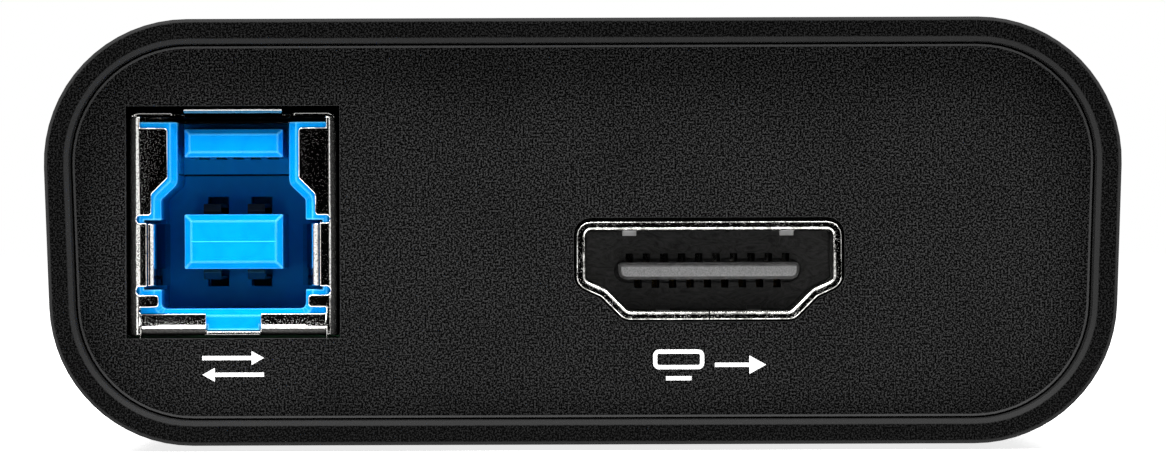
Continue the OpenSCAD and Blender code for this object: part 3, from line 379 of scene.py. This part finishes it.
def blue_plastic():
    """Moulded blue plastic with flow lines, with painted highlights along its front edges and painted shade
    under its step.
    """
    made, tree, shader = principled("blue_plastic", Specular_Tint=(0.1, 0.7, 1, 1))
    flow = noise(tree, 1.6, detail=4, distortion=1.5)
    fine = noise(tree, 0.12, detail=2)
    front = below(tree, axis_of(tree, 1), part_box("data_port_insulator")[0].y + DATA_EDGE_DEPTH)
    # Pale cyan along the front edges is a painted highlight.
    edges = both(tree, front, edge_mask(tree, 0.13, 0.97, 0.998))
    # Painted shade: a dark blue band under the step, behind the front.
    crease_shade = both(tree, step_shade_band(tree), outside(tree, front))
    body = blended(tree, ranged(tree, flow, *NOISE_SPAN), (0.0, 0.265, 0.8, 1), (0.0, 0.31, 0.86, 1))
    shaded = blended(tree, crease_shade, body, (0.0, 0.004, 0.04, 1))
    relief = maths(tree, "ADD", fine, maths(tree, "MULTIPLY", flow, 1.2))
    feed(tree, shader,
         Base_Color=blended(tree, edges, shaded, (0.16, 0.68, 1, 1)),
         Roughness=ranged(tree, fine, *NOISE_SPAN, 0.16, 0.26),
         Normal=bump(tree, relief, 0.006))
    return made


def black_insulator():
    """Black moulded plastic with swirled marks, worn pale at the tip of the tongue."""
    made, tree, shader = principled("black_insulator")
    swirl = noise(tree, 1.6, detail=7, rough=0.75, distortion=6, vector=stretched(tree, (0.7, 1, 1.6)))
    grain = noise(tree, 0.09, detail=3, rough=0.7)
    wall = blended(tree, ranged(tree, swirl, 0.35, 0.7), grey(0.006), grey(0.085))
    worn = blended(tree, ranged(tree, grain, *NOISE_SPAN), grey(0.07), grey(0.17))
    feed(tree, shader,
         Base_Color=blended(tree, tongue_tips(tree), wall, worn),
         Roughness=ranged(tree, swirl, *NOISE_SPAN, 0.55, 0.35),
         Normal=bump(tree, maths(tree, "ADD", swirl, grain), 0.01))
    return made


def data_contacts():
    """Plated strips, painted near black above the main tongue as painted shade, and dull teal below it."""
    made, tree, shader = principled("data_contacts", Metallic=0.7, Specular_IOR_Level=0.1)
    wear = noise(tree, 0.3, detail=3)
    # Near black above the main tongue is painted shade.
    upper = blended(tree, wear, (0.0005, 0.002, 0.004, 1), (0.002, 0.004, 0.008, 1))
    lower = blended(tree, wear, (0.001, 0.015, 0.03, 1), (0.006, 0.035, 0.055, 1))
    feed(tree, shader,
         Base_Color=blended(tree, below(tree, axis_of(tree, 2), DATA_TONGUE_Z), upper, lower),
         Roughness=ranged(tree, wear, *NOISE_SPAN, 0.35, 0.5),
         Normal=bump(tree, wear, 0.01))
    return made


def plain_finish(name, first, second, grain, roughness, metallic=0.0, relief=0.006, stretch=(1, 1, 1)):
    """A mottled finish between two colours, with a grain of that size, drawn out along an axis if asked."""
    made, tree, shader = principled(name, Metallic=metallic)
    vector = stretched(tree, stretch)
    mottle = noise(tree, MOTTLE_PATCH * grain, detail=3, vector=vector)
    fine = noise(tree, grain, detail=3, rough=0.6, vector=vector)
    feed(tree, shader,
         Base_Color=blended(tree, ranged(tree, mottle, *NOISE_SPAN), first, second),
         Roughness=ranged(tree, fine, *NOISE_SPAN, roughness - ROUGHNESS_SPREAD, roughness + ROUGHNESS_SPREAD),
         Normal=bump(tree, fine, relief))
    return made


def solder_mask():
    """Green solder mask over copper tracks that show through as lighter lines."""
    made, tree, shader = principled("solder_mask", Coat_Weight=0.3, Coat_Roughness=0.2)
    tracks = add_node(tree, "ShaderNodeTexBrick", props={"offset": 0.5, "squash": 0.6}, inputs={
        "Vector": places(tree), "Scale": 1 / MM, "Mortar Size": 0.12, "Mortar Smooth": 0.2,
        "Brick Width": 3.7, "Row Height": 0.9}).outputs["Fac"]
    weave = noise(tree, 0.4, detail=2)
    copper = both(tree, tracks, ranged(tree, noise(tree, 7), 0.42, 0.5))
    feed(tree, shader,
         Base_Color=blended(tree, copper, (0.008, 0.06, 0.025, 1), (0.02, 0.16, 0.05, 1)),
         Roughness=ranged(tree, weave, *NOISE_SPAN, 0.35, 0.5),
         Normal=bump(tree, maths(tree, "ADD", copper, maths(tree, "MULTIPLY", weave, 0.4)), 0.02))
    return made


def drawn_aluminium():
    """Aluminium with fine upright lines, as drawn cans have."""
    made, tree, shader = principled("capacitor_metal", Metallic=1.0)
    drawn = noise(tree, 0.3, detail=3, vector=stretched(tree, (1, 1, 0.05)))
    feed(tree, shader,
         Base_Color=blended(tree, drawn, grey(0.55), grey(0.75)),
         Roughness=ranged(tree, drawn, *NOISE_SPAN, 0.25, 0.4),
         Normal=bump(tree, drawn, 0.006))
    return made


def clear_acrylic():
    """Clear acrylic with a frosted skin."""
    made, tree, shader = principled("clear_acrylic", IOR=1.49, Transmission_Weight=0.9)
    frost = noise(tree, 0.12, detail=3)
    feed(tree, shader,
         Base_Color=blended(tree, frost, (0.86, 0.88, 0.9, 1), (0.95, 0.96, 0.97, 1)),
         Roughness=ranged(tree, frost, *NOISE_SPAN, 0.22, 0.38),
         Normal=bump(tree, frost, 0.004))
    return made


def white_ink():
    """White printing ink, a little uneven over the panel's grain."""
    made, tree, shader = principled("white_ink", Specular_IOR_Level=0.3)
    grain = noise(tree, 0.1, detail=3, rough=0.6)
    feed(tree, shader,
         Base_Color=blended(tree, ranged(tree, grain, 0.25, 0.6), grey(0.7), grey(0.9)),
         Roughness=ranged(tree, grain, *NOISE_SPAN, 0.5, 0.65),
         Normal=bump(tree, grain, 0.01))
    return made


def blue_flash():
    """The paler blue of a moulding line."""
    made, tree, shader = principled("blue_flash", Roughness=0.25, Specular_Tint=(0.1, 0.7, 1, 1))
    feed(tree, shader, Base_Color=blended(tree, noise(tree, 0.6), (0.05, 0.62, 1, 1), (0.02, 0.5, 1, 1)))
    return made


# Edges of the solids


def geometry_group(name):
    """An empty group of geometry nodes, with its way in and its way out."""
    group = bpy.data.node_groups.new(name, "GeometryNodeTree")
    group.interface.new_socket("Geometry", in_out="INPUT", socket_type="NodeSocketGeometry")
    group.interface.new_socket("Geometry", in_out="OUTPUT", socket_type="NodeSocketGeometry")
    start = group.nodes.new("NodeGroupInput")
    end = group.nodes.new("NodeGroupOutput")
    return group, start.outputs[0], end.inputs[0]


def joining_group():
    """Joins the facets of a solid and drops the normals that they came with."""
    group, start, end = geometry_group("join_facets")
    bare = add_node(group, "GeometryNodeRemoveAttribute", inputs={0: start, "Name": "custom_normal"})
    joined = add_node(group, "GeometryNodeMergeByDistance",
                      inputs={0: bare.outputs[0], "Distance": JOIN_DISTANCE})
    group.links.new(joined.outputs[0], end)
    return group


def smoothing_group(limit):
    """Shades faces smooth, apart from edges that turn by more than the limit."""
    group, start, end = geometry_group("smooth_by_angle")
    faces = add_node(group, "GeometryNodeSetShadeSmooth", props={"domain": "FACE"}, inputs={0: start})
    turn = add_node(group, "GeometryNodeInputMeshEdgeAngle").outputs[0]
    soft = add_node(group, "FunctionNodeCompare", props={"operation": "LESS_EQUAL"},
                    inputs={0: turn, 1: math.radians(limit)})
    edges = add_node(group, "GeometryNodeSetShadeSmooth", props={"domain": "EDGE"}, inputs={
        0: faces.outputs[0], "Shade Smooth": soft.outputs[0]})
    group.links.new(edges.outputs[0], end)
    return group


JOIN_FACETS = joining_group()
SMOOTH_EDGES = smoothing_group(SHARP_ANGLE)


def soften(obj, width_mm):
    """Shades a solid's curves smooth, and rounds its sharp edges by a small width if one is given."""
    obj.modifiers.new("join", "NODES").node_group = JOIN_FACETS
    if width_mm:
        flat = obj.modifiers.new("flat", "DECIMATE")
        flat.decimate_type = "DISSOLVE"
        flat.angle_limit = math.radians(FLAT_ANGLE)
    obj.modifiers.new("smooth", "NODES").node_group = SMOOTH_EDGES
    if width_mm:
        edge = obj.modifiers.new("edges", "BEVEL")
        edge.width = width_mm * MM
        edge.segments = BEVEL_SEGMENTS
        edge.limit_method = "ANGLE"
        edge.angle_limit = math.radians(SHARP_ANGLE)
        edge.use_clamp_overlap = False
        edge.harden_normals = True


def dress(finish, width_mm, *names):
    """Gives CAD nodes a finish and rounds their edges."""
    for name in names:
        for place in NODES[name].material_slots:
            place.material = finish
        soften(NODES[name], width_mm)


def dress_casing():
    """The sleeve, the panels, and what holds them."""
    # The edge values are the paler colour of the cut faces, a painted highlight.
    sleeve_coat = grained_black("sleeve_coat", high=0.01, edge=0.02, grain=0.1, flat=0.9, slope=0.8)
    panel_coat = grained_black("panel_texture", high=0.028, edge=0.036, grain=0.1, flat=0.97, slope=0.92)
    steel = plain_finish("blackened_steel", grey(0.05), grey(0.1), grain=0.08, roughness=0.4, metallic=1.0)
    brass = plain_finish("brass", (0.72, 0.5, 0.2, 1), (0.8, 0.58, 0.27, 1), grain=0.1, roughness=0.3,
                         metallic=1.0)
    rubber = plain_finish("foot_rubber", grey(0.012), grey(0.025), grain=0.15, roughness=0.8, relief=0.02)
    dress(sleeve_coat, 0.05, "sleeve")
    dress(panel_coat, 0.02, "rear_panel", "front_panel")
    dress(steel, 0.04, "panel_screws")
    dress(brass, 0.05, "threaded_inserts")
    dress(rubber, 0.08, "rubber_feet")


def dress_ports(lip_metal):
    """The data port, the video ports and the status light."""
    leaf_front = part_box("data_port_left_leaf")[0].y
    metal = plated_metal("plated_metal", depth=0.0027, spots=0.0)
    # The leaves are painted dark behind their bend, as painted shade.
    leaf_metal = plated_metal("leaf_plating", depth=0.0027, spots=0.0, shade_from=leaf_front + LEAF_BEND)
    black = black_insulator()
    dull_tin = plain_finish("dull_tin", grey(0.6), grey(0.85), grain=0.12, roughness=0.4, metallic=0.3)
    # A dark copy of the tin for the bottom leaves: painted shade.
    shaded_tin = plain_finish("painted_shade_tin", grey(0.06), grey(0.12), grain=0.12, roughness=0.4, metallic=0.6)
    gold = plain_finish("gold_plating", (0.8, 0.56, 0.22, 1), (0.7, 0.47, 0.2, 1), grain=0.1, roughness=0.28,
                        metallic=1.0)
    light_body = plain_finish("light_body", (0.72, 0.72, 0.66, 1), (0.8, 0.8, 0.74, 1), grain=0.2,
                              roughness=0.35)
    dress(metal, 0.08, "data_port_can")
    dress(leaf_metal, 0.05, "data_port_left_leaf", "data_port_right_leaf")
    dress(lip_metal, 0, "video_out_can", "video_in_can")
    dress(dull_tin, 0.03, "video_out_top_leaves", "video_in_top_leaves")
    dress(shaded_tin, 0.03, "video_out_bottom_leaves", "video_in_bottom_leaves")
    dress(blue_plastic(), 0.07, "data_port_insulator")
    dress(black, 0.03, "video_out_insulator", "video_in_insulator")
    dress(data_contacts(), 0.03, "data_port_contacts")
    dress(gold, 0.02, "data_port_fast_contacts", "video_out_contacts", "video_in_contacts")
    dress(clear_acrylic(), 0.05, "light_pipe")
    dress(light_body, 0.08, "status_light")


def dress_board():
    """The circuit board and all that is soldered to it."""
    epoxy = plain_finish("chip_epoxy", grey(0.012), grey(0.022), grain=0.06, roughness=0.6)
    silicone = plain_finish("thermal_silicone", (0.3, 0.45, 0.58, 1), (0.36, 0.52, 0.64, 1), grain=0.3,
                            roughness=0.7)
    sink = plain_finish("sink_aluminium", grey(0.2), grey(0.3), grain=0.12, roughness=0.38, metallic=1.0,
                        stretch=(1, 0.05, 1))
    steel = plain_finish("pressed_steel", grey(0.5), grey(0.62), grain=0.1, roughness=0.25, metallic=1.0,
                         stretch=(0.1, 1, 1))
    base = plain_finish("base_plastic", grey(0.012), grey(0.022), grain=0.1, roughness=0.55)
    powder = plain_finish("pressed_powder", grey(0.05), grey(0.09), grain=0.12, roughness=0.75, relief=0.03)
    ceramic = plain_finish("ceramic", (0.4, 0.3, 0.19, 1), (0.48, 0.37, 0.25, 1), grain=0.1, roughness=0.5)
    dress(solder_mask(), 0.04, "main_board")
    dress(epoxy, 0.06, "video_processor", "memory_chips", "data_bridge_chip", "video_receiver_chip",
          "video_driver_chip", "firmware_chip", "voltage_regulators")
    dress(silicone, 0.05, "thermal_pad")
    dress(sink, 0.06, "heat_sink")
    dress(steel, 0.08, "crystals")
    dress(drawn_aluminium(), 0.06, "filter_capacitors")
    dress(base, 0.05, "capacitor_bases")
    dress(powder, 0.1, "power_inductors")
    dress(ceramic, 0.04, "chip_components")


# Pieces that the solids leave out


def piece(name, faces, depth, finish):
    """A thin plate on the casing: faces of X and Z points on the plane Y = 0, drawn out along Y by depth."""
    mesh = bpy.data.meshes.new(name)
    build = bmesh.new()
    for points in faces:
        build.faces.new([build.verts.new((x, 0, z)) for x, z in points])
    bmesh.ops.remove_doubles(build, verts=build.verts, dist=JOIN_DISTANCE)
    drawn = bmesh.ops.extrude_face_region(build, geom=list(build.faces))["geom"]
    far_side = [item for item in drawn if isinstance(item, bmesh.types.BMVert)]
    bmesh.ops.translate(build, vec=(0, depth, 0), verts=far_side)
    bmesh.ops.recalc_face_normals(build, faces=build.faces)
    build.to_mesh(mesh)
    build.free()
    mesh.materials.append(finish)
    made = bpy.data.objects.new(name, mesh)
    bpy.context.scene.collection.objects.link(made)
    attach(made, BODY)
    return made


def ring_faces(outer, inner):
    """Faces between two closed outlines with as many points."""
    count = len(outer)
    return [[outer[i], outer[(i + 1) % count], inner[(i + 1) % count], inner[i]] for i in range(count)]


def arrow_faces(start, end, height, middle=0.0):
    """An arrow from one X to another: its shaft and its head."""
    side = math.copysign(1, end - start)
    neck = end - side * HEAD_LENGTH_SHARE * height
    half = INK_STROKE / 2
    shaft = [(start, middle - half), (neck, middle - half), (neck, middle + half), (start, middle + half)]
    head = [(neck, middle - height / 2), (end, middle), (neck, middle + height / 2)]
    return [shaft, head]


def rounded_loop(left, low, right, high, radius, steps=5):
    """Points round a rectangle with rounded corners."""
    centres = [(right - radius, high - radius), (left + radius, high - radius), (left + radius, low + radius),
               (right - radius, low + radius)]
    points = []
    for corner, (x, z) in enumerate(centres):
        for step in range(steps + 1):
            turn = math.radians(90 * (corner + step / steps))
            points.append((x + radius * math.cos(turn), z + radius * math.sin(turn)))
    return points


def screen_faces(left, width, height):
    """A screen on its stand: a rounded frame and a foot."""
    stroke, foot = INK_STROKE, SCREEN_FOOT_SHARE * height
    low, high, right = foot - height / 2, height / 2, left + width
    outer = rounded_loop(left, low, right, high, SCREEN_OUTER_CORNER)
    inner = rounded_loop(left + stroke, low + stroke, right - stroke, high - stroke, SCREEN_INNER_CORNER)
    middle, reach = left + width / 2, width / 4
    base = [(middle - reach, -height / 2), (middle + reach, -height / 2),
            (middle + reach, stroke - height / 2), (middle - reach, stroke - height / 2)]
    return ring_faces(outer, inner) + [base]


def add_marks():
    """Plain printed marks by the ports: two arrows for data, a screen with an arrow out of it or into it."""
    ink = white_ink()
    half, tail = SCREEN_MARK_HALF, SCREEN_WIDTH + MARK_GAP - SCREEN_MARK_HALF
    there = arrow_faces(-ARROWS_HALF, ARROWS_HALF, SMALL_HEAD, ARROWS_SPREAD)
    back = arrow_faces(ARROWS_HALF, -ARROWS_HALF, SMALL_HEAD, -ARROWS_SPREAD)
    screen = screen_faces(-half, SCREEN_WIDTH, MARK_HEIGHT)
    outward = screen + arrow_faces(tail, half, LARGE_HEAD)
    inward = screen + arrow_faces(half, tail, LARGE_HEAD)
    data = piece("data_mark", there + back, -INK_THICKNESS, ink)
    data.location = (middle_x("data_port_can"), REAR_FACE, MARK_Z)
    video_out = piece("video_out_mark", outward, -INK_THICKNESS, ink)
    video_out.location = (middle_x("video_out_can"), REAR_FACE, MARK_Z)
    video_in = piece("video_in_mark", inward, -INK_THICKNESS, ink)
    video_in.location = (middle_x("video_in_can"), FRONT_FACE, MARK_Z)
    video_in.rotation_euler = (0, 0, math.pi)


def grown(points, amount):
    """The corners of a closed outline, moved out by an amount. They run anticlockwise."""
    made = []
    for before, here, after in zip(points[-1:] + points[:-1], points, points[1:] + points[:1]):
        into, away = (here - before).normalized(), (after - here).normalized()
        first, second = Vector((into.y, -into.x)), Vector((away.y, -away.x))
        made.append(here + (first + second) * amount / (1 + first.dot(second)))
    return made


def port_outline():
    """The inner outline of a video port."""
    right = [(PORT_FLOOR_HALF, 0), (PORT_WAIST_HALF, PORT_WAIST_RISE), (PORT_HALF, PORT_SIDE_RISE),
             (PORT_HALF, PORT_HEIGHT)]
    return [Vector(point) for point in right] + [Vector((-x, z)) for x, z in reversed(right)]


def port_floor(can):
    """The height of a video port's floor."""
    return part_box(can)[1].z - PORT_FLARE - PORT_HEIGHT


def add_gaskets():
    """Foam gaskets behind the panels, which close the gaps round the video ports."""
    foam = plain_finish("gasket_foam", grey(0.003), grey(0.008), grain=0.15, roughness=0.9, relief=0.03)
    ring = ring_faces(grown(port_outline(), GASKET_RIM), grown(port_outline(), GASKET_HOLE))
    for name, can, back, side in (("video_out_gasket", "video_out_can", REAR_FACE + PANEL_THICKNESS, 1),
                                  ("video_in_gasket", "video_in_can", FRONT_FACE - PANEL_THICKNESS, -1)):
        made = piece(name, ring, side * GASKET_DEPTH, foam)
        made.location = (middle_x(can), back, port_floor(can))


def add_back_shields(finish):
    """Pressed plates behind the contacts of the video ports, which close the backs of their cans."""
    plate = [grown(port_outline(), SHIELD_THICKNESS)]
    behind_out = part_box("video_out_contacts")[1].y + SHIELD_GAP
    behind_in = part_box("video_in_contacts")[0].y - SHIELD_GAP
    for name, can, behind, side in (("video_out_back_shield", "video_out_can", behind_out, 1),
                                    ("video_in_back_shield", "video_in_can", behind_in, -1)):
        made = piece(name, plate, side * SHIELD_THICKNESS, finish)
        made.location = (middle_x(can), behind, port_floor(can))


def add_tongue_seam():
    """The fine moulding line across the face of the data port's main tongue."""
    face_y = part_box("data_port_insulator")[0].y + SEAM_DEPTH
    strip = [(-SEAM_REACH, -SEAM_HALF), (SEAM_REACH, -SEAM_HALF),
             (SEAM_REACH, SEAM_HALF), (-SEAM_REACH, SEAM_HALF)]
    seam = piece("tongue_seam", [strip], -SEAM_RISE, blue_flash())
    for vert in seam.data.vertices:
        if vert.co.y < -SEAM_RISE / 2:
            vert.co.z *= SEAM_CREST_SHARE
    seam.location = (middle_x("data_port_insulator"), face_y, DATA_TONGUE_Z)


# Studio


def shown_rays(tree):
    """1 for rays that show the background: straight from the camera, mirrored or refracted."""
    path = add_node(tree, "ShaderNodeLightPath").outputs
    seen = maths(tree, "MAXIMUM", path["Is Camera Ray"], path["Is Glossy Ray"])
    return maths(tree, "MAXIMUM", seen, path["Is Transmission Ray"])


def floor_material():
    """A pale floor that keeps its shadows, with a lift towards white where it is seen."""
    made = bpy.data.materials.new("floor_paper")
    made.use_nodes = True
    tree = made.node_tree
    tree.nodes.remove(tree.nodes["Principled BSDF"])
    paper = add_node(tree, "ShaderNodeBsdfDiffuse", inputs={"Color": FLOOR_COLOUR})
    lift = add_node(tree, "ShaderNodeEmission", inputs={
        "Strength": maths(tree, "MULTIPLY", shown_rays(tree), FLOOR_GLOW)})
    whole = add_node(tree, "ShaderNodeAddShader", inputs={0: paper.outputs[0], 1: lift.outputs[0]})
    tree.links.new(whole.outputs[0], tree.nodes["Material Output"].inputs[0])
    return made


def flag_material():
    """Black studio cloth."""
    made, tree, shader = principled("flag_cloth", Roughness=0.9, Specular_IOR_Level=0.0)
    feed(tree, shader, Base_Color=blended(tree, noise(tree, 3), grey(0.0005), grey(0.001)))
    return made


def stage_plane(name, corners, finish):
    """A flat stage piece through its corners."""
    mesh = bpy.data.meshes.new(name)
    mesh.from_pydata(corners, [], [list(range(len(corners)))])
    mesh.materials.append(finish)
    made = bpy.data.objects.new(name, mesh)
    bpy.context.scene.collection.objects.link(made)
    return made


def add_floor():
    half = FLOOR_HALF
    stage_plane("floor", [(-half, -half, 0), (half, -half, 0), (half, half, 0), (-half, half, 0)],
                floor_material())


def add_flags():
    """Black cloths round the camera, which only mirrored rays meet, so that flat metal stays dark."""
    cloth = flag_material()
    left, right, near, far, low, top = FLAG_LEFT, FLAG_RIGHT, FLAG_NEAR, FLAG_FAR, FLAG_LIFT, FLAG_TOP
    lying = [(left, far, low), (right, far, low), (right, near, low), (left, near, low)]
    upright = [(left, far, low), (right, far, low), (right, far, top), (left, far, top)]
    for name, corners in (("flag_floor", lying), ("flag_back", upright)):
        flag = stage_plane(name, corners, cloth)
        flag.visible_camera = False
        flag.visible_diffuse = False
        flag.visible_shadow = False


def add_world():
    """White where it is seen, and dimmer as light."""
    world = bpy.data.worlds.new("studio")
    bpy.context.scene.world = world
    world.use_nodes = True
    tree = world.node_tree
    plain = tree.nodes["Background"]
    plain.inputs["Color"].default_value = (1, 1, 1, 1)
    plain.inputs["Strength"].default_value = AMBIENT
    white = add_node(tree, "ShaderNodeBackground", inputs={"Color": (1, 1, 1, 1), "Strength": 1.0})
    whole = add_node(tree, "ShaderNodeMixShader", inputs={
        0: shown_rays(tree), 1: plain.outputs[0], 2: white.outputs[0]})
    tree.links.new(whole.outputs[0], tree.nodes["World Output"].inputs[0])


def add_softbox(name, azimuth, elevation, size, power):
    """A square area lamp, turned towards the middle of the box."""
    lamp = bpy.data.lights.new(name, "AREA")
    lamp.size = size
    lamp.energy = power
    made = bpy.data.objects.new(name, lamp)
    around, up = math.radians(azimuth), math.radians(elevation)
    back = Vector((math.sin(around) * math.cos(up), -math.cos(around) * math.cos(up), math.sin(up)))
    made.location = Vector((0, 0, CAMERA_HEIGHT)) + SOFTBOX_DISTANCE * back
    made.rotation_mode = "QUATERNION"
    made.rotation_quaternion = (-back).to_track_quat("-Z", "Y")
    bpy.context.scene.collection.objects.link(made)


def add_camera():
    camera = bpy.data.cameras.new("camera")
    camera.sensor_width = SENSOR_WIDTH_MM
    camera.lens = SENSOR_WIDTH_MM * CAMERA_DISTANCE / VIEW_WIDTH
    camera.clip_start = CLIP_NEAR
    camera.clip_end = CLIP_FAR
    made = bpy.data.objects.new("camera", camera)
    made.location = (0, REAR - CAMERA_DISTANCE, CAMERA_HEIGHT)
    made.rotation_euler = (math.radians(90), math.radians(CAMERA_ROLL), 0)
    bpy.context.scene.collection.objects.link(made)
    bpy.context.scene.camera = made


# The part

lip_plating = plated_metal("lip_plating", depth=0.0035, spots=0.75)
dress_casing()
dress_ports(lip_plating)
dress_board()
add_marks()
add_gaskets()
add_back_shields(lip_plating)
add_tongue_seam()

# Its surroundings

add_floor()
add_flags()
add_world()
add_softbox("softbox_left", azimuth=-44, elevation=54, size=0.5, power=10)
add_softbox("softbox_right", azimuth=44, elevation=54, size=0.5, power=6)
add_softbox("softbox_top", azimuth=180, elevation=80, size=0.6, power=3.0)
add_camera()
bpy.context.scene.view_settings.view_transform = "Standard"
